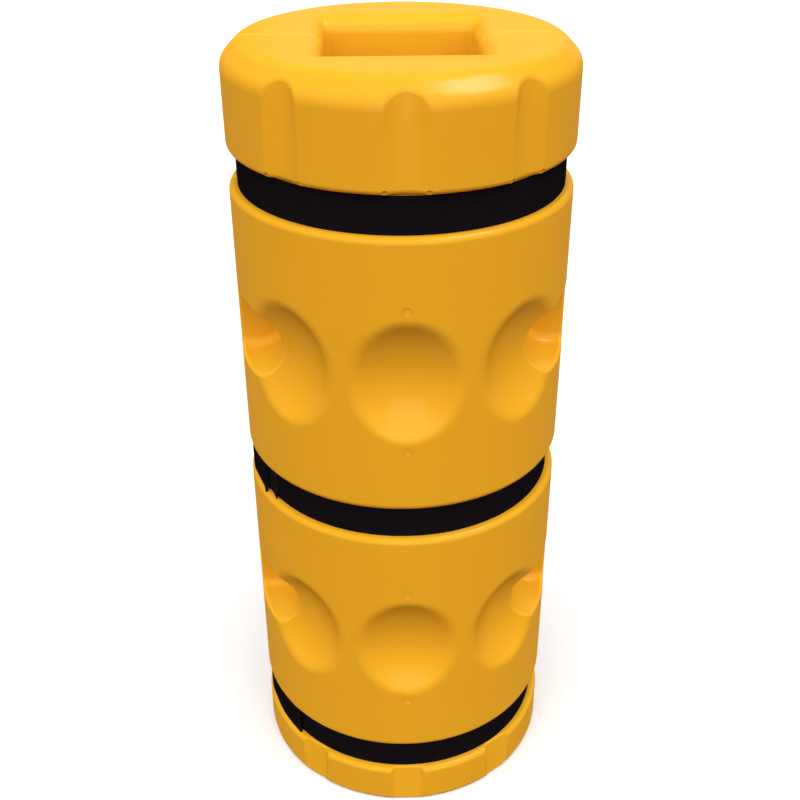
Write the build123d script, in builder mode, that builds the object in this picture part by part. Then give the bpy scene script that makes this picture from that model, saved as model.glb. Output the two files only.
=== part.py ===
from build123d import *
import os
from math import cos, radians, sin, sqrt

# Post protector: two hollow moulded halves held round a square post by three hook-and-loop straps.
# Millimetres, +Z up, origin on the post's axis at floor level, front half towards -Y.
# Azimuths are degrees round the axis from the front (-Y), positive towards +X.

# Overall size and the levels of the mouldings
outer_radius = 215.0
groove_radius = 201.7
height = 1070.0
base_top = 62.0
lower_bottom, lower_top = 112.0, 485.0
upper_bottom, upper_top = 531.5, 897.6
cap_bottom = 946.0

# Edge roundings of the moulding's section
floor_rounding = 6.4
lip_rounding = 7.5
overhang_rounding = 10.0
cap_foot_rounding = 7.0
groove_corner = 0.8
cap_chamfer = 22.6
cap_shoulder_rounding = 24.0
cap_top_rounding = 21.0

# Hollow wall and the gap between the halves
wall = 5.0
half_gap = 0.2
parting_rounding = 4.0

# Square channel for the post
channel_width = 186.0
channel_corner = 6.0
channel_lip = 21.0
channel_foot_lip = 8.0

# Flutes in the base: flat floors that lean inwards, the side ones turned a little to the front
flute_azimuths = (-40.3, 0.0, 40.3)
flute_facing = 0.89
flute_width = 48.0
flute_corner = 8.0
flute_reach = 60.0
flute_overrun = 40.0
flute_edge = 3.0
flute_foot_radius = 213.4
flute_head_radius = 207.3

# Coves in the cap: hollow flutes that grow deeper and narrower with each millimetre of rise
cove_azimuths = (-39.8, 0.0, 39.8)
cove_depth = 4.5
cove_slope = 0.0535
cove_mouth = 216.5
cove_mouth_width = 69.0
cove_taper = 0.163
cove_overrun = 20.0
cove_edge = 6.5

# Nicks in the cap's lower edge, at both sides of each cove
nick_turn = 6.3
nick_radius = 6.5
nick_offset = 2.5
nick_rise = 1.0

# Dimples dished into the two body sections
dimple_rows = (299.0, 715.0)
dimple_azimuths = (-43.0, 0.0, 43.0)
dimple_radius = 127.0
dimple_centre = 314.7
dimple_rim = 22.0

# Half-round side pockets that run from the outer dimples to a web at the parting plane
pocket_rows = (308.5, 717.5)
pocket_radius = 45.5
pocket_offset = 196.0
pocket_web = 25.0
pocket_corner = 12.0
pocket_edge = 4.0

# Vent holes above and below each middle dimple, closed by push-in plugs
vent_offset = 95.0
vent_radius = 4.0
plug_head_radius = 5.5
plug_head = 1.4
plug_sink = 1.0
plug_shank = 9.0
plug_play = 0.1

# Straps: radii of the layers, from the webbing in the groove to the tail that closes over it
run_layer = (202.0, 204.3)
loop_layer = (204.4, 206.0)
hook_layer = (206.3, 207.6)
tail_layer = (207.7, 209.9)
webbing_width = 45.5
panel_margin = 1.5
strap_rest = 0.4

# Straps: levels of the grooves and azimuths between which each piece runs
strap_grooves = {"top": upper_top, "middle": lower_top, "bottom": base_top}
front_run_spans = {"top": (-89.9, 89.9), "middle": (-88.5, 89.9), "bottom": (-88.5, 89.9)}
rear_run_spans = {"top": (90.1, 268.5), "middle": (90.1, 269.9), "bottom": (90.1, 269.9)}
loop_spans = {"top": (-133.0, -92.0), "middle": (-88.0, -56.0), "bottom": (-88.0, -52.0)}
tail_spans = {"top": (-128.0, -90.3), "middle": (-89.7, -62.5), "bottom": (-89.7, -49.7)}


def around(radius, azimuth, level):
    """The point at a radius, azimuth and level round the post's axis."""
    return (radius * sin(radians(azimuth)), -radius * cos(radians(azimuth)), level)


def press_flute(azimuth, growth=0.0):
    """Make the plug that one flute of the base is pressed in by, grown on all sides for the hollow."""
    facing = radians(azimuth * flute_facing)
    across = Vector(cos(facing), sin(facing), 0)
    inwards = Vector(-sin(facing), cos(facing), 0)
    rise = inwards * (flute_foot_radius - flute_head_radius) + Vector(0, 0, base_top)
    floor = Plane(origin=around(flute_foot_radius, azimuth, 0), x_dir=across, z_dir=across.cross(rise))
    with BuildSketch(floor.offset(-growth)) as outline:
        Rectangle(flute_width + 2 * growth, 2 * (base_top + flute_overrun))
    extrude(outline.sketch, amount=flute_reach)
    fillet(edges(Select.LAST).group_by(Axis(floor.origin, floor.z_dir))[0], flute_corner)


def press_cove(azimuth, growth=0.0):
    """Make the plug that one flute of the cap is pressed in by, grown for the hollow."""
    across = (cos(radians(azimuth)), sin(radians(azimuth)), 0)
    sections = []
    for level in (cap_bottom - cove_overrun, height + cove_overrun):
        rise = level - cap_bottom
        half = (cove_mouth_width - cove_taper * rise) / 2 + growth
        floor = outer_radius - cove_depth - cove_slope * rise - growth
        with BuildSketch(Plane((0, 0, level), x_dir=across)) as outline:
            with BuildLine():
                ThreePointArc((-half, -cove_mouth), (0, -floor), (half, -cove_mouth))
                Line((-half, -cove_mouth), (half, -cove_mouth))
            make_face()
        sections.append(outline.sketch)
    loft(sections, ruled=True)


def press_pocket(side, row, growth=0.0):
    """Make the plug that one side pocket is pressed in by, grown on all sides for the hollow."""
    with BuildSketch(Plane.XZ.offset(pocket_web - growth)) as outline:
        with Locations((side * pocket_offset, row)):
            Circle(pocket_radius + growth)
    extrude(outline.sketch, amount=outer_radius)
    fillet(edges(Select.LAST).group_by(Axis.Y)[-1], pocket_corner)


def cut_dimple(azimuth, row, growth=0.0):
    """Cut one dimple, grown when it is taken out of the hollow."""
    with Locations(around(dimple_centre, azimuth, row)):
        Sphere(dimple_radius + growth, mode=Mode.SUBTRACT)


def cut_channel(width, corner, level, rise):
    """Cut a square hole with rounded corners up the axis."""
    with BuildSketch(Plane.XY.offset(level)) as outline:
        RectangleRounded(width, width, corner)
    extrude(outline.sketch, amount=rise, mode=Mode.SUBTRACT)


def sweep_section(corners):
    """Sweep a section on the left of the axis round the front, each corner with its rounding."""
    with BuildSketch(Plane.XZ) as outline:
        with BuildLine():
            FilletPolyline(
                [(-radius, level) for radius, level, rounding in corners],
                radius=[rounding for radius, level, rounding in corners],
                close=True,
            )
        make_face()
    revolve(outline.sketch, axis=Axis.Z, revolution_arc=180)


def wrap_band(layer, span, level, width):
    """Make a band round the axis, between the two radii of a layer and two azimuths."""
    with BuildSketch(Plane.XY.offset(level)) as outline:
        with BuildLine():
            inner = CenterArc((0, 0), layer[0], span[0] - 90, span[1] - span[0])
            outer = CenterArc((0, 0), layer[1], span[0] - 90, span[1] - span[0])
            Line(inner @ 0, outer @ 0)
            Line(inner @ 1, outer @ 1)
        make_face()
    extrude(outline.sketch, amount=width)


# The flutes, coves and pockets as plugs, and the same plugs with the wall added
with BuildPart() as flutes:
    for azimuth in flute_azimuths:
        press_flute(azimuth)
with BuildPart() as coves:
    for azimuth in cove_azimuths:
        press_cove(azimuth)
with BuildPart() as pockets:
    for row in pocket_rows:
        press_pocket(-1, row)
        press_pocket(1, row)
with BuildPart() as walled_plugs:
    for azimuth in flute_azimuths:
        press_flute(azimuth, growth=wall)
    for azimuth in cove_azimuths:
        press_cove(azimuth, growth=wall)
    for row in pocket_rows:
        press_pocket(-1, row, growth=wall)
        press_pocket(1, row, growth=wall)

# The hollow inside a half, kept clear of everything that is pressed into its outside
chamfer_step = wall * (sqrt(2) - 1)
hollow_corners = [
    (0, wall, 0),
    (outer_radius - wall, wall, 0),
    (outer_radius - wall, base_top - wall, 0),
    (groove_radius - wall, base_top - wall, 0),
    (groove_radius - wall, lower_bottom + wall, 0),
    (outer_radius - wall, lower_bottom + wall, 0),
    (outer_radius - wall, lower_top - wall, 0),
    (groove_radius - wall, lower_top - wall, 0),
    (groove_radius - wall, upper_bottom + wall, 0),
    (outer_radius - wall, upper_bottom + wall, 0),
    (outer_radius - wall, upper_top - wall, 0),
    (groove_radius - wall, upper_top - wall, 0),
    (groove_radius - wall, cap_bottom + wall, 0),
    (outer_radius - wall, cap_bottom + wall, 0),
    (outer_radius - wall, height - cap_chamfer - chamfer_step, 0),
    (outer_radius - cap_chamfer - chamfer_step, height - wall, 0),
    (0, height - wall, 0),
]
with BuildPart() as hollow:
    sweep_section(hollow_corners)
    cut_channel(channel_width + 2 * wall, channel_corner + wall, 0, height)
    mouth_width = channel_width + 2 * channel_lip
    cut_channel(mouth_width, channel_corner + channel_lip, height - channel_lip, channel_lip)
    for row in dimple_rows:
        for azimuth in dimple_azimuths:
            cut_dimple(azimuth, row, growth=wall)
    add(walled_plugs.part, mode=Mode.SUBTRACT)
    with BuildSketch(Plane.XY):
        Rectangle(2 * outer_radius, 2 * (wall + half_gap))
    extrude(amount=height, mode=Mode.SUBTRACT)

# Front half: one hollow moulding with its vent holes
vent_levels = [row + side * vent_offset for row in dimple_rows for side in (-1, 1)]
outer_corners = [
    (0, 0, 0),
    (outer_radius, 0, floor_rounding),
    (outer_radius, base_top, lip_rounding),
    (groove_radius, base_top, groove_corner),
    (groove_radius, lower_bottom, groove_corner),
    (outer_radius, lower_bottom, overhang_rounding),
    (outer_radius, lower_top, lip_rounding),
    (groove_radius, lower_top, groove_corner),
    (groove_radius, upper_bottom, groove_corner),
    (outer_radius, upper_bottom, overhang_rounding),
    (outer_radius, upper_top, lip_rounding),
    (groove_radius, upper_top, groove_corner),
    (groove_radius, cap_bottom, groove_corner),
    (outer_radius, cap_bottom, cap_foot_rounding),
    (outer_radius, height - cap_chamfer, cap_shoulder_rounding),
    (outer_radius - cap_chamfer, height, cap_top_rounding),
    (0, height, 0),
]
with BuildPart() as front_half:
    sweep_section(outer_corners)
    cut_channel(channel_width, channel_corner, 0, height)
    mouth = front_half.edges(Select.LAST).filter_by(lambda edge: edge.center().Y < -half_gap)
    fillet(mouth.filter_by(lambda edge: edge.bounding_box().min.Z > height - half_gap), channel_lip)
    fillet(mouth.filter_by(lambda edge: edge.bounding_box().max.Z < half_gap), channel_foot_lip)
    for row in dimple_rows:
        for azimuth in dimple_azimuths:
            cut_dimple(azimuth, row)
            fillet(front_half.edges(Select.LAST), dimple_rim)
    # The lower ends of the coves stay sharp, so only the rims above the cap's foot are rounded there
    cove_foot = cap_bottom + cap_foot_rounding
    for plugs, rounding, foot in (
        (flutes, flute_edge, 0),
        (coves, cove_edge, cove_foot),
        (pockets, pocket_edge, 0),
    ):
        before = front_half.part
        add(plugs.part, mode=Mode.SUBTRACT)
        rims = new_edges(before, plugs.part, combined=front_half.part)
        fillet(rims.filter_by(lambda edge: edge.center().Z > foot), rounding)
    for azimuth in cove_azimuths:
        for side in (-1, 1):
            turn = azimuth + side * nick_turn
            with Locations(around(outer_radius + nick_offset, turn, cap_bottom + nick_rise)):
                Sphere(nick_radius, mode=Mode.SUBTRACT)
    with BuildSketch(Plane.XY):
        Rectangle(2 * outer_radius, 2 * half_gap)
    extrude(amount=height, mode=Mode.SUBTRACT)
    parting = front_half.edges().filter_by(lambda edge: edge.bounding_box().min.Y > -2 * half_gap)
    fillet(parting, parting_rounding)
    for level in vent_levels:
        with BuildSketch(Plane.XZ.offset(outer_radius - plug_sink - plug_head)):
            with Locations((0, level)):
                Circle(plug_head_radius + plug_play)
        extrude(amount=outer_radius, mode=Mode.SUBTRACT)
        with BuildSketch(Plane.XZ.offset(outer_radius - plug_shank)):
            with Locations((0, level)):
                Circle(vent_radius)
        extrude(amount=outer_radius, mode=Mode.SUBTRACT)
    add(hollow.part, mode=Mode.SUBTRACT)

# Rear half: the same moulding turned round
with BuildPart() as rear_half:
    add(front_half.part, rotation=(0, 0, 180))

# Vent plugs: a shank in the hole and a head that lies just below the surface
with BuildPart() as front_vent_plugs:
    for level in vent_levels:
        with BuildSketch(Plane.XZ.offset(outer_radius - plug_sink - plug_head)):
            with Locations((0, level)):
                Circle(plug_head_radius)
        extrude(amount=plug_head)
        with BuildSketch(Plane.XZ.offset(outer_radius - plug_shank)):
            with Locations((0, level)):
                Circle(vent_radius - plug_play)
        extrude(amount=plug_shank - plug_sink)
with BuildPart() as rear_vent_plugs:
    add(front_vent_plugs.part, rotation=(0, 0, 180))

os.makedirs("parts", exist_ok=True)
front_half.part.label = "front_half"
export_step(front_half.part, "parts/front_half.step")
rear_half.part.label = "rear_half"
export_step(rear_half.part, "parts/rear_half.step")
front_vent_plugs.part.label = "front_vent_plugs"
export_step(front_vent_plugs.part, "parts/front_vent_plugs.step")
rear_vent_plugs.part.label = "rear_vent_plugs"
export_step(rear_vent_plugs.part, "parts/rear_vent_plugs.step")

# Straps: two runs of webbing in each groove, closed on the left by a tail with hook over a loop panel
for strap, groove in strap_grooves.items():
    level = groove + strap_rest
    with BuildPart() as front_run:
        wrap_band(run_layer, front_run_spans[strap], level, webbing_width)
    with BuildPart() as rear_run:
        wrap_band(run_layer, rear_run_spans[strap], level, webbing_width)
    with BuildPart() as loop_panel:
        wrap_band(loop_layer, loop_spans[strap], level + panel_margin, webbing_width - 2 * panel_margin)
    with BuildPart() as hook_panel:
        wrap_band(hook_layer, tail_spans[strap], level + panel_margin, webbing_width - 2 * panel_margin)
    with BuildPart() as tail:
        wrap_band(tail_layer, tail_spans[strap], level, webbing_width)
    for piece, name in (
        (front_run, "front_run"),
        (rear_run, "rear_run"),
        (loop_panel, "loop_panel"),
        (hook_panel, "hook_panel"),
        (tail, "tail"),
    ):
        piece.part.label = f"{strap}_strap_{name}"
        export_step(piece.part, f"parts/{strap}_strap_{name}.step")
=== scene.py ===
from math import atan2, cos, hypot, pi, radians, sin

import bpy
from mathutils import Matrix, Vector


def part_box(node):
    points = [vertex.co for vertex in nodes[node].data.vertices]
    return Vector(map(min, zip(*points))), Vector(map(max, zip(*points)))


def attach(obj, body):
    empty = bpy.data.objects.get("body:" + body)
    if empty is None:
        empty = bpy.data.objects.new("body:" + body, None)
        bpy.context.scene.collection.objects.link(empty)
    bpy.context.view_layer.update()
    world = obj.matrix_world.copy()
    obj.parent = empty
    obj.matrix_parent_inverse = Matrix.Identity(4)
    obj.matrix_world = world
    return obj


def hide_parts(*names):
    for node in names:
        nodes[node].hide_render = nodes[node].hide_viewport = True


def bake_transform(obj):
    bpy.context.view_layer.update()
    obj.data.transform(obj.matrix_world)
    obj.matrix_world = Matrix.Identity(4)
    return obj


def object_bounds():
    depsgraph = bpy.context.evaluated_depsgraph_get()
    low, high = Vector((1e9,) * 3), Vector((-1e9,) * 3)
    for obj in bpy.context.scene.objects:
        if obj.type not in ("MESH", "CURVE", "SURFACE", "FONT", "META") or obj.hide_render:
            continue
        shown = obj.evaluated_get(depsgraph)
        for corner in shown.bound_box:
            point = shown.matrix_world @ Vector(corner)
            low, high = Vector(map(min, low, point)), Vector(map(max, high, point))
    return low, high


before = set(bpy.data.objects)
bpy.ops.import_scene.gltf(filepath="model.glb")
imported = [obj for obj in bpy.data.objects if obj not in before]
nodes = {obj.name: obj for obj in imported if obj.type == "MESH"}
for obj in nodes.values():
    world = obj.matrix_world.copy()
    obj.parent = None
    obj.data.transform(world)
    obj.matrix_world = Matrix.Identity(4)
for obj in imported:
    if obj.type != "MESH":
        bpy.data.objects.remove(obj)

cad_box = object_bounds()


# Front and rear halves: two like hollow mouldings in safety-yellow polyethylene.
# Each comes out of a heated turning mould, so the skin is satin, faintly rippled and
# a little cloudy in colour, with a few specks of other pigment moulded in.
class Strand:
    """A node's output; sums on strands add Math nodes, and node() adds any other kind."""

    def __init__(self, tree, socket=None):
        self.tree = tree
        self.socket = socket

    def node(self, kind, inputs=None, settings=None, output=0):
        """Add a node and return one of its outputs."""
        made = self.tree.nodes.new(kind)
        for name, value in (settings or {}).items():
            setattr(made, name, value)
        for name, value in (inputs or {}).items():
            self.feed(made.inputs[name], value)
        return Strand(self.tree, made.outputs[output])

    def feed(self, socket, value):
        """Link a strand to a socket, or set the socket to a plain value."""
        if isinstance(value, Strand):
            self.tree.links.new(value.socket, socket)
        else:
            socket.default_value = value

    def sum(self, operation, first, second=0.0):
        """Add a Math node."""
        return self.node("ShaderNodeMath", {0: first, 1: second}, {"operation": operation})

    def __add__(self, other):
        return self.sum("ADD", self, other)

    def __sub__(self, other):
        return self.sum("SUBTRACT", self, other)

    def __rsub__(self, other):
        return self.sum("SUBTRACT", other, self)

    def __mul__(self, other):
        return self.sum("MULTIPLY", self, other)

    def __truediv__(self, other):
        return self.sum("DIVIDE", self, other)

    def __gt__(self, other):
        return self.sum("GREATER_THAN", self, other)

    def __lt__(self, other):
        return self.sum("LESS_THAN", self, other)

    __radd__ = __add__
    __rmul__ = __mul__


def start_finish(name):
    """A new material, a strand to build its nodes from and its main shader."""
    finish = bpy.data.materials.new(name)
    finish.use_nodes = True
    return finish, Strand(finish.node_tree), finish.node_tree.nodes["Principled BSDF"]


def blend_colours(strand, share, low, high):
    """Between two colours by a share from 0 to 1."""
    mix = {"data_type": "RGBA", "clamp_factor": True}
    return strand.node("ShaderNodeMix", {0: share, 6: low, 7: high}, mix, output=2)


def cloud(strand, place, scale, detail):
    """Soft noise from 0 to 1 with about the given number of lumps in a metre."""
    return strand.node("ShaderNodeTexNoise", {"Vector": place, "Scale": scale, "Detail": detail})


def along_axis(strand, place, axis):
    """How far a place lies along X, Y or Z."""
    return strand.node("ShaderNodeSeparateXYZ", {0: place}, output=axis)


def fade_in(strand, rise):
    """A rise held between 0 and 1."""
    return strand.sum("MAXIMUM", strand.sum("MINIMUM", rise, 1.0), 0.0)


# Painted light: the post's channel and the side pockets are painted a paler yellow, standing in for
# the light that fills them.
painted_light_yellow = (0.79, 0.392, 0.019, 1.0)
channel_mouth, mouth_fade = 0.106, 0.012
pocket_levels = (0.3085, 0.7175)
pocket_offset, pocket_mouth, pocket_web, pocket_fade = 0.196, 0.0495, 0.021, 0.0035


def painted_light_hollows(strand, place):
    """1 in the post's channel and the side pockets, which are painted paler as painted light, and 0
    outside.
    """
    x, y, z = (along_axis(strand, place, axis) for axis in "XYZ")
    across, deep = strand.sum("ABSOLUTE", x), strand.sum("ABSOLUTE", y)
    inside = fade_in(strand, (channel_mouth - strand.sum("MAXIMUM", across, deep)) / mouth_fade)
    for level in pocket_levels:
        aside, above = across - pocket_offset, z - level
        reach = strand.sum("SQRT", aside * aside + above * above)
        behind_mouth = fade_in(strand, (pocket_mouth - reach) / pocket_fade)
        inside = inside + behind_mouth * fade_in(strand, (deep - pocket_web) / pocket_fade)
    return inside


# Painted highlight: a pale line along the edges where the halves meet, where their rounding catches
# the light.
painted_highlight_yellow = (0.81, 0.405, 0.032, 1.0)
highlight_reach, highlight_fade = 0.005, 0.002


def seam_highlight(strand, place):
    """1 along the edges where the halves meet, which carry a painted highlight, and 0 away from
    them.
    """
    deep = strand.sum("ABSOLUTE", along_axis(strand, place, "Y"))
    return fade_in(strand, (highlight_reach - deep) / highlight_fade)


drift_scale, drift_share = 9.0, 0.75
mottle_scale, mottle_share = 160.0, 0.35
colour_detail, skin_detail = 3.0, 2.0
speck_scale, speck_radius, speckless_share, speck_strength = 55.0, 0.035, 0.93, 0.55
speck_brown = (0.25, 0.11, 0.015, 1.0)
satin_roughness, mottle_roughness = 0.34, 0.12
coat_weight, coat_index, coat_roughness = 0.05, 2.0, 0.24
peel_scale, grain_scale, grain_share = 420.0, 1900.0, 0.35
skin_strength, skin_depth = 0.10, 0.0006


def moulded_plastic(name, warm, bright):
    """Satin moulded polyethylene between two near shades, plus painted light in hollows and at
    seams.
    """
    finish, strand, shader = start_finish(name)
    place = strand.node("ShaderNodeTexCoord", output="Object")
    drift = cloud(strand, place, drift_scale, colour_detail)
    mottle = cloud(strand, place, mottle_scale, colour_detail)
    clouding = drift * drift_share + mottle * mottle_share
    colour = blend_colours(strand, clouding, warm, bright)
    # Painted light: a paler yellow in the post's channel and the side pockets.
    colour = blend_colours(strand, painted_light_hollows(strand, place), colour, painted_light_yellow)
    # Painted highlight along the edges where the halves meet.
    colour = blend_colours(strand, seam_highlight(strand, place), colour, painted_highlight_yellow)
    cell = {"Vector": place, "Scale": speck_scale, "Randomness": 1.0}
    near = strand.node("ShaderNodeTexVoronoi", cell, {"feature": "F1"}, output="Distance")
    chance = strand.node("ShaderNodeTexVoronoi", cell, {"feature": "F1"}, output="Color")
    chance = strand.node("ShaderNodeSeparateColor", {0: chance})
    speck = (near < speck_radius) * (chance > speckless_share)
    colour = blend_colours(strand, speck * speck_strength, colour, speck_brown)
    strand.feed(shader.inputs["Base Color"], colour)
    strand.feed(shader.inputs["Roughness"], satin_roughness + mottle_roughness * mottle)
    shader.inputs["Specular IOR Level"].default_value = 0.0
    shader.inputs["Coat Weight"].default_value = coat_weight
    shader.inputs["Coat IOR"].default_value = coat_index
    shader.inputs["Coat Roughness"].default_value = coat_roughness
    peel = cloud(strand, place, peel_scale, skin_detail)
    grain = cloud(strand, place, grain_scale, skin_detail)
    ripple = peel + grain_share * grain
    skin = {"Height": ripple, "Strength": skin_strength, "Distance": skin_depth}
    strand.feed(shader.inputs["Normal"], strand.node("ShaderNodeBump", skin))
    return finish


yellow_moulding = moulded_plastic(
    "yellow_moulding",
    warm=(0.705, 0.333, 0.011, 1.0),
    bright=(0.755, 0.370, 0.017, 1.0),
)
for half in ("front_half", "rear_half"):
    nodes[half].data.materials[0] = yellow_moulding

# Vent plugs: small push-in caps that close the holes the hollow mouldings breathe through.
# They are pressed from the same plastic, a shade paler, and sit just below the surface.
plug_plastic = moulded_plastic(
    "plug_plastic",
    warm=(0.715, 0.345, 0.014, 1.0),
    bright=(0.775, 0.39, 0.03, 1.0),
)
for plugs in ("front_vent_plugs", "rear_vent_plugs"):
    nodes[plugs].data.materials[0] = plug_plastic


# Straps: three lengths of black woven webbing that lie in the grooves and hold the halves.
# Each goes all round, bends at the right-hand seam and closes at the left-hand one, where its
# tail comes up over loop tape that is sewn to the other end, and grips it with hook tape.
row_shift = 0.5
flat_share, swell_share = 0.4, 0.6
# The woven pattern's yarn crowns are painted paler, a painted highlight, and the valleys between
# them darker.
crown_highlight_share, wear_share = 0.6, 0.4
wear_scale = 60.0
woven_roughness, crown_polish = 0.92, 0.14
weave_strength, weave_depth = 0.7, 0.0004


def woven_cloth(name, dark, light, yarn, float_length):
    """Black tape woven from flat yarns, laid out on the piece's own map in metres."""
    finish, strand, shader = start_finish(name)
    lie = strand.node("ShaderNodeUVMap", settings={"uv_map": "weave"})
    along = along_axis(strand, lie, "X")
    across = along_axis(strand, lie, "Y") / yarn
    row = strand.sum("FLOOR", across)
    crown = strand.sum("SINE", strand.sum("FRACT", across) * pi)
    swell = strand.sum("SINE", strand.sum("FRACT", along / float_length + row * row_shift) * pi)
    rise = crown * (flat_share + swell_share * swell)
    place = strand.node("ShaderNodeTexCoord", output="Object")
    wear = cloud(strand, place, wear_scale, colour_detail)
    # Painted highlight on the yarn crowns by their height, mixed with a random wear cloud.
    colour = blend_colours(strand, rise * crown_highlight_share + wear * wear_share, dark, light)
    strand.feed(shader.inputs["Base Color"], colour)
    strand.feed(shader.inputs["Roughness"], woven_roughness - crown_polish * rise)
    shader.inputs["Specular IOR Level"].default_value = 0.0
    weave = {"Height": rise, "Strength": weave_strength, "Distance": weave_depth}
    strand.feed(shader.inputs["Normal"], strand.node("ShaderNodeBump", weave))
    return finish


pile_scatter = 0.7
pile_share, dust_share = 0.6, 0.4
dust_scale = 90.0
napped_roughness, pile_polish = 0.98, 0.2
pile_strength, pile_depth = 0.8, 0.0006


def napped_cloth(name, dark, light, scale):
    """Black tape with a pile of fine loops or hooks, about the given number in a metre."""
    finish, strand, shader = start_finish(name)
    place = strand.node("ShaderNodeTexCoord", output="Object")
    cell = {"Vector": place, "Scale": scale, "Randomness": pile_scatter}
    pile = strand.node("ShaderNodeTexVoronoi", cell, {"feature": "F1"}, output="Distance")
    dust = cloud(strand, place, dust_scale, colour_detail)
    colour = blend_colours(strand, pile * pile_share + dust * dust_share, dark, light)
    strand.feed(shader.inputs["Base Color"], colour)
    strand.feed(shader.inputs["Roughness"], napped_roughness - pile_polish * pile)
    shader.inputs["Specular IOR Level"].default_value = 0.0
    fuzz = {"Height": pile, "Strength": pile_strength, "Distance": pile_depth}
    strand.feed(shader.inputs["Normal"], strand.node("ShaderNodeBump", fuzz))
    return finish


webbing_cloth = woven_cloth(
    "webbing",
    dark=(0.004, 0.0032, 0.004, 1.0),
    light=(0.011, 0.0088, 0.0105, 1.0),
    yarn=0.0011,
    float_length=0.0032,
)
thread = woven_cloth(
    "thread",
    dark=(0.009, 0.0078, 0.009, 1.0),
    light=(0.021, 0.0185, 0.0205, 1.0),
    yarn=0.0002,
    float_length=0.0006,
)
loop_cloth = napped_cloth(
    "loop_tape",
    dark=(0.0048, 0.0042, 0.0046, 1.0),
    light=(0.013, 0.0115, 0.0125, 1.0),
    scale=1100.0,
)
hook_cloth = napped_cloth(
    "hook_tape",
    dark=(0.004, 0.0037, 0.004, 1.0),
    light=(0.011, 0.0102, 0.011, 1.0),
    scale=650.0,
)

post_foot, upright = (0.0, 0.0, 0.0), (0.0, 0.0, 1.0)
left_seam = radians(-90.0)
webbing_width, webbing_thickness = 0.0455, 0.0023
run_radius, tail_radius = 0.20315, 0.2088
panel_width = 0.0425
loop_radius, loop_thickness = 0.2052, 0.0016
hook_radius, hook_thickness = 0.20695, 0.0013
tape_rows = 10
edge_slack, edge_rounding, edge_segments = 0.1, 0.35, 2
arc_step = radians(1.5)
weld_gap = 0.00001
crease_angle = radians(40.0)
map_start, map_margin = left_seam - radians(60.0), 0.01


def round_post(radius, azimuth, level):
    """A place at a radius from the post's axis, by the angle from the front towards the right."""
    return (radius * sin(azimuth), -radius * cos(azimuth), level)


def start_tape(name, thickness, width, azimuth, radius, level):
    """The end section of a tape, standing in its groove and open in edit mode."""
    bpy.ops.object.select_all(action="DESELECT")
    bpy.ops.mesh.primitive_grid_add(
        x_subdivisions=1,
        y_subdivisions=tape_rows,
        size=1.0,
        location=round_post(radius, azimuth, level),
        rotation=(pi / 2, 0.0, azimuth - pi / 2),
    )
    tape = bpy.context.object
    tape.name = name
    tape.scale = (thickness, width, 1.0)
    bpy.ops.object.transform_apply(location=True, rotation=True, scale=True)
    edge = width / 2 - thickness * edge_slack
    for vertex in tape.data.vertices:
        vertex.select = abs(vertex.co.z - level) > edge
    bpy.ops.object.mode_set(mode="EDIT")
    bpy.ops.mesh.select_mode(type="VERT")
    bpy.ops.mesh.bevel(
        offset=thickness * edge_rounding, segments=edge_segments, affect="VERTICES"
    )
    bpy.ops.mesh.select_mode(type="FACE")
    bpy.ops.mesh.select_all(action="SELECT")
    return tape


def start_webbing(name, azimuth, level):
    """The end section of a length of webbing that lies on the groove's floor."""
    return start_tape(name, webbing_thickness, webbing_width, azimuth, run_radius, level)


def run_round(turn):
    """Carry the open end of a tape round the post by an angle."""
    steps = max(2, round(abs(turn) / arc_step))
    bpy.ops.mesh.spin(steps=steps, angle=-turn, center=post_foot, axis=upright)


def step_out(turn, ratio):
    """Draw the open end of a tape on by one turn, to a radius that is larger by a ratio."""
    bpy.ops.mesh.extrude_region()
    bpy.ops.transform.rotate(value=-turn, orient_axis="Z", center_override=post_foot)
    bpy.ops.transform.resize(value=(ratio, ratio, 1.0), center_override=post_foot)


ramp_steps = 9


def ramp_up(turn):
    """Draw the open end of a tail from the groove's floor up to the height of the closure."""
    reached = run_radius
    for step in range(ramp_steps):
        share = (step + 1) / ramp_steps
        radius = run_radius + (tail_radius - run_radius) * share * share * (3 - 2 * share)
        step_out(turn / ramp_steps, radius / reached)
        reached = radius


hump, hump_turn = 0.0024, radians(18.0)
hump_steps = 12


def hump_over(radius, way):
    """Draw the open end of a tape over the thick fold at the seam, out from a radius and back."""
    reached = radius
    for step in range(hump_steps):
        raised = radius + hump * sin(pi * (step + 1) / hump_steps) ** 2
        step_out(way * hump_turn / hump_steps, raised / reached)
        reached = raised


def end_tape(tape, first, finish):
    """Close a tape's mesh and lay its map along it in metres, from its first azimuth on."""
    bpy.ops.mesh.select_all(action="SELECT")
    bpy.ops.mesh.remove_doubles(threshold=weld_gap)
    bpy.ops.mesh.normals_make_consistent(inside=False)
    bpy.ops.object.mode_set(mode="OBJECT")
    bpy.ops.object.shade_smooth_by_angle(angle=crease_angle)
    weave = tape.data.uv_layers.new(name="weave")
    for loop in tape.data.loops:
        spot = tape.data.vertices[loop.vertex_index].co
        azimuth = (atan2(spot.x, -spot.y) - first + map_margin) % (2 * pi)
        weave.data[loop.index].uv = (azimuth * hypot(spot.x, spot.y), spot.z)
    tape.data.materials.clear()
    tape.data.materials.append(finish)
    return tape


thread_width = 0.0007
thread_sides, thread_rings = 8, 6
stitch_length, stitch_pitch = 0.0031, 0.0042
sewn_width = 0.0375
sewn_margin = radians(1.1)


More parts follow.
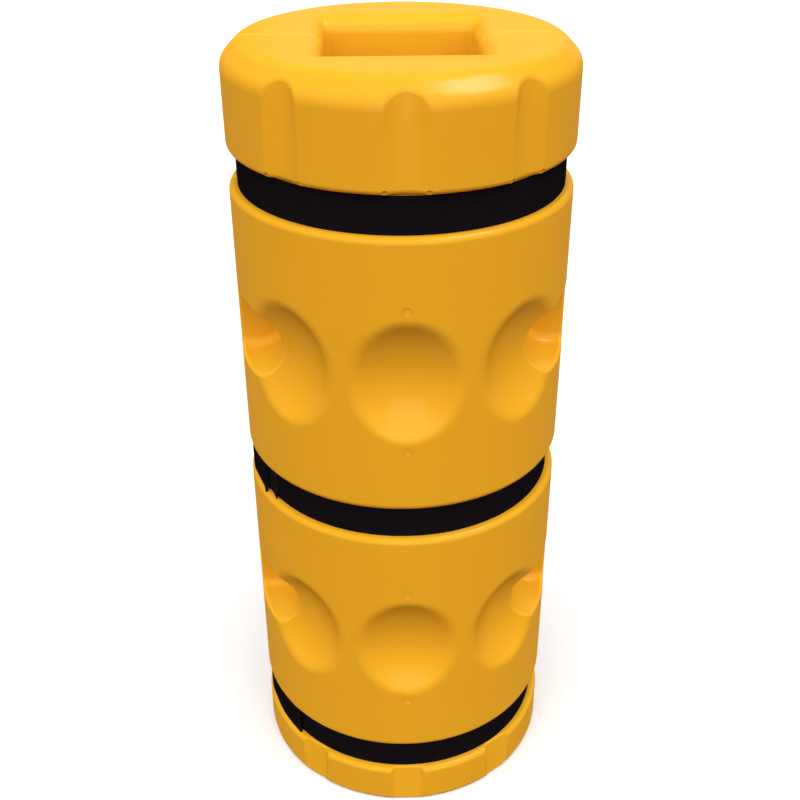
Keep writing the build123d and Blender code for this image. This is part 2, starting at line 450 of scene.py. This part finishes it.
def start_stitch(name, radius, azimuth, level, lie):
    """One stitch on a tape's face, lying along or across it, selected in edit mode."""
    bpy.ops.object.select_all(action="DESELECT")
    bpy.ops.mesh.primitive_uv_sphere_add(
        segments=thread_sides,
        ring_count=thread_rings,
        radius=0.5,
        location=round_post(radius, azimuth, level),
        rotation=(lie, 0.0, azimuth - pi / 2),
    )
    stitch = bpy.context.object
    stitch.name = name
    stitch.scale = (thread_width, stitch_length, thread_width)
    bpy.ops.object.transform_apply(location=True, rotation=True, scale=True)
    bpy.ops.object.mode_set(mode="EDIT")
    bpy.ops.mesh.select_all(action="SELECT")
    return stitch


def sew_along(name, radius, level, first, last):
    """Two rows of stitches along a tape's edges, from one stitch turned round the post."""
    rows = start_stitch(name, radius, first, level - sewn_width / 2, 0.0)
    steps = round(abs(last - first) * radius / stitch_pitch)
    bpy.ops.mesh.spin(
        steps=steps, angle=first - last, center=post_foot, axis=upright, dupli=True
    )
    bpy.ops.mesh.select_all(action="SELECT")
    bpy.ops.mesh.duplicate()
    bpy.ops.transform.translate(value=(0.0, 0.0, sewn_width))
    return end_tape(rows, first, thread)


def sew_across(name, radius, level, azimuth):
    """A row of stitches across a tape's end, from one stitch set down again and again."""
    lowest = level - sewn_width / 2 + stitch_pitch / 2
    row = start_stitch(name, radius, azimuth, lowest, pi / 2)
    for _ in range(round(sewn_width / stitch_pitch) - 1):
        bpy.ops.mesh.duplicate()
        bpy.ops.transform.translate(value=(0.0, 0.0, stitch_pitch))
    return end_tape(row, azimuth, thread)


curl_length, curl_height = 0.016, 0.020
curl_power, curl_drop = 1.5, 0.35


def curl_corner(piece, tip, way, foot, lift):
    """Bend a tape's lower corner outwards over the ledge by a lift, as the ends of worn tape do."""
    for vertex in piece.data.vertices:
        spot = vertex.co
        radius = hypot(spot.x, spot.y)
        along = 1 + way * (atan2(spot.x, -spot.y) - tip) * radius / curl_length
        down = 1 - (spot.z - foot) / curl_height
        if along > 0 and down > 0:
            share = along**curl_power * down**curl_power
            spot.x *= 1 + lift * share / radius
            spot.y *= 1 + lift * share / radius
            spot.z -= curl_drop * lift * share


# Of each strap: the way its tail goes from the left-hand seam (1 to the front, -1 to the rear),
# the bodies with its tail's root and its loop tape, the turns in degrees of its ramp and, from the
# seam, to the tail's tip and the loop tape's end, and how far the two lower corners curl out.
straps = {
    "top": {
        "way": -1,
        "carrier": "front",
        "keeper": "rear",
        "ramp": 16.0,
        "tip": 38.0,
        "loop": 43.0,
        "curls": (0.0, 0.0),
    },
    "middle": {
        "way": 1,
        "carrier": "rear",
        "keeper": "front",
        "ramp": 6.3,
        "tip": 27.5,
        "loop": 34.0,
        "curls": (0.004, 0.004),
    },
    "bottom": {
        "way": 1,
        "carrier": "rear",
        "keeper": "front",
        "ramp": 6.3,
        "tip": 40.3,
        "loop": 38.0,
        "curls": (0.001, 0.0),
    },
}
fold_start = radians(6.0)
keeper_start = radians(1.5)
loop_gap = radians(1.7)
sewn_gap = radians(0.2)
for strap, plan in straps.items():
    low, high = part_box(f"{strap}_strap_front_run")
    level = (low[2] + high[2]) / 2
    way = plan["way"]
    tip = left_seam + way * radians(plan["tip"])
    loop_end = left_seam + way * radians(plan["loop"])
    tail_curl, loop_curl = plan["curls"]
    ramp_turn = radians(plan["ramp"])
    hook_start = ramp_turn - fold_start
    loop_start = hook_start + loop_gap
    sewn_root = hook_start + hump_turn + sewn_gap

    # The band: webbing in one length round both halves, which bends at the right-hand seam.
    band = start_webbing(f"{strap}_strap_band", left_seam + fold_start, level)
    run_round(2 * pi - 2 * fold_start)
    end_tape(band, left_seam + fold_start, webbing_cloth)
    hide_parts(f"{strap}_strap_front_run", f"{strap}_strap_rear_run")
    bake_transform(band)

    # The keeper end: the band's other end, which goes on under the tail almost to the seam.
    keeper_end = start_webbing(
        f"{strap}_strap_keeper_end", left_seam + way * keeper_start, level
    )
    run_round(way * (fold_start - keeper_start))
    end_tape(keeper_end, left_seam - fold_start, webbing_cloth)
    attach(keeper_end, plan["keeper"])

    # The tail: webbing that rises from the band, humps over the fold and lies on the closure.
    tail = start_webbing(f"{strap}_strap_tail_web", left_seam - way * fold_start, level)
    ramp_up(way * ramp_turn)
    hump_over(tail_radius, way)
    run_round(way * (radians(plan["tip"]) + fold_start - ramp_turn - hump_turn))
    end_tape(tail, map_start, webbing_cloth)
    curl_corner(tail, tip, way, low[2], tail_curl)
    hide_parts(f"{strap}_strap_tail")
    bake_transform(tail)

    # The loop tape: napped, and sewn to the outside of the band's other end.
    loop_panel = start_tape(
        f"{strap}_strap_loop_tape",
        loop_thickness,
        panel_width,
        left_seam + way * loop_start,
        loop_radius,
        level,
    )
    run_round(loop_end - left_seam - way * loop_start)
    end_tape(loop_panel, map_start, loop_cloth)
    curl_corner(loop_panel, loop_end, way, low[2], loop_curl)
    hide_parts(f"{strap}_strap_loop_panel")
    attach(loop_panel, plan["keeper"])

    # The hook tape: set with fine hooks, and sewn to the inside of the tail.
    hook_panel = start_tape(
        f"{strap}_strap_hook_tape",
        hook_thickness,
        panel_width,
        left_seam + way * hook_start,
        hook_radius,
        level,
    )
    hump_over(hook_radius, way)
    run_round(tip - left_seam - way * (hook_start + hump_turn))
    end_tape(hook_panel, map_start, hook_cloth)
    curl_corner(hook_panel, tip, way, low[2], tail_curl)
    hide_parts(f"{strap}_strap_hook_panel")
    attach(hook_panel, f"{strap}_tail")

    # The seams: single stitches of black thread on the outside of the tail and of the loop tape.
    tail_face = tail_radius + webbing_thickness / 2
    tail_seams = sew_along(
        f"{strap}_strap_tail_seams",
        tail_face,
        level,
        left_seam + way * sewn_root,
        tip - way * sewn_margin,
    )
    tail_end = sew_across(
        f"{strap}_strap_tail_end_seam", tail_face, level, tip - way * sewn_margin
    )
    for seam in (tail_seams, tail_end):
        curl_corner(seam, tip, way, low[2], tail_curl)
        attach(seam, f"{strap}_tail")
    loop_face = loop_radius + loop_thickness / 2
    loop_seam = sew_across(
        f"{strap}_strap_loop_end_seam", loop_face, level, loop_end - way * sewn_margin
    )
    curl_corner(loop_seam, loop_end, way, low[2], loop_curl)
    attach(loop_seam, plan["keeper"])

# Floor: a plain pale ground that keeps the guard's shadow.
# It throws back less light than it shows, so that the dished sides keep their shade.
floor_size = 40.0
dim_ground = (0.08, 0.012, 0.003, 1.0)
pale_ground = (0.82, 0.82, 0.82, 1.0)
ground_roughness = 0.9
bpy.ops.object.select_all(action="DESELECT")
bpy.ops.mesh.primitive_plane_add(size=floor_size, location=post_foot)
floor = bpy.context.object
floor.name = "floor"


def seen_rays(strand):
    """1 for what the camera, a reflection or clear glass sees, and 0 for light on its way round."""
    kinds = ("Is Camera Ray", "Is Glossy Ray", "Is Transmission Ray")
    camera, gloss, glass = (strand.node("ShaderNodeLightPath", output=kind) for kind in kinds)
    return camera + gloss + glass


ground, strand, shader = start_finish("ground")
shade = blend_colours(strand, seen_rays(strand), dim_ground, pale_ground)
strand.feed(shader.inputs["Base Color"], shade)
shader.inputs["Roughness"].default_value = ground_roughness
shader.inputs["Specular IOR Level"].default_value = 0.0
floor.data.materials.append(ground)

# Studio light: a pale room that is bright in front and dimmer behind, as with a broad curtain of
# light before the guard, and three lamps that only show in the sheen.
front_light, back_light = 2.96, 1.15
side_gain = 0.3
full_front, no_front = -0.3, 0.1
white = (1.0, 1.0, 1.0, 1.0)
world = bpy.data.worlds.new("studio")
bpy.context.scene.world = world
world.use_nodes = True
room = Strand(world.node_tree)
heading = room.node("ShaderNodeTexCoord", output="Generated")
side, depth, rise = (along_axis(room, heading, axis) for axis in "XYZ")
spread = {
    "Value": depth,
    "From Min": full_front,
    "From Max": no_front,
    "To Min": 1.0,
    "To Max": 0.0,
}
front = room.node("ShaderNodeMapRange", spread, {"interpolation_type": "SMOOTHSTEP"})
curtain = front_light * (1 + side_gain * side * side)
height = room.sum("SQRT", room.sum("MAXIMUM", rise, 0.0))
glow = height * (curtain * front + back_light * (1 - front))
seen = seen_rays(room)
backing = world.node_tree.nodes["Background"]
backing.inputs["Color"].default_value = white
room.feed(backing.inputs["Strength"], glow * (1 - seen) + seen)


def hang_lamp(name, shape, size, energy, place, target):
    """A soft area lamp that looks at a target and only shows in the sheen."""
    lamp = bpy.data.lights.new(name, "AREA")
    lamp.shape = shape
    lamp.size = size
    lamp.energy = energy
    holder = bpy.data.objects.new(name, lamp)
    bpy.context.scene.collection.objects.link(holder)
    holder.location = place
    holder.visible_diffuse = False
    holder.rotation_euler = (target - holder.location).to_track_quat("-Z", "Y").to_euler()


cap_spot = (cad_box[0] + cad_box[1]) / 2
body_spot = cap_spot.copy()
cap_spot.z = cad_box[1].z
hang_lamp(
    "cap_sheen",
    shape="DISK",
    size=1.3,
    energy=131.0,
    place=(1.235, -0.45, 3.23),
    target=cap_spot,
)
hang_lamp(
    "body_sheen",
    shape="SQUARE",
    size=2.0,
    energy=48.0,
    place=(0.0, -2.8, 1.45),
    target=body_spot,
)
hang_lamp(
    "top_sheen",
    shape="SQUARE",
    size=2.4,
    energy=42.0,
    place=(0.7, 2.85, 1.9),
    target=cap_spot,
)

# Camera: hand held in front of the guard, above its top and tilted down at it.
# Its place and lens fit the rims and the outline in the photo, which is 800 pixels wide.
camera_height = 1.363
camera_distance = 1.347
camera_azimuth = radians(-1.6)
camera_pitch = radians(30.54)
camera_roll = radians(-0.2)
sensor_width = 36.0
focal_pixels, picture_pixels = 1112.33, 800.0
sideways_shift = -0.00279
lens = bpy.data.cameras.new("camera")
lens.sensor_width = sensor_width
lens.lens = sensor_width * focal_pixels / picture_pixels
lens.shift_x = sideways_shift
viewer = bpy.data.objects.new("camera", lens)
bpy.context.scene.collection.objects.link(viewer)
viewer.location = round_post(camera_distance, camera_azimuth, camera_height)
turn = Matrix.Rotation(camera_azimuth, 3, "Z") @ Matrix.Rotation(pi / 2 - camera_pitch, 3, "X")
viewer.rotation_euler = (turn @ Matrix.Rotation(camera_roll, 3, "Z")).to_euler()
bpy.context.scene.camera = viewer
bpy.context.scene.view_settings.view_transform = "Standard"
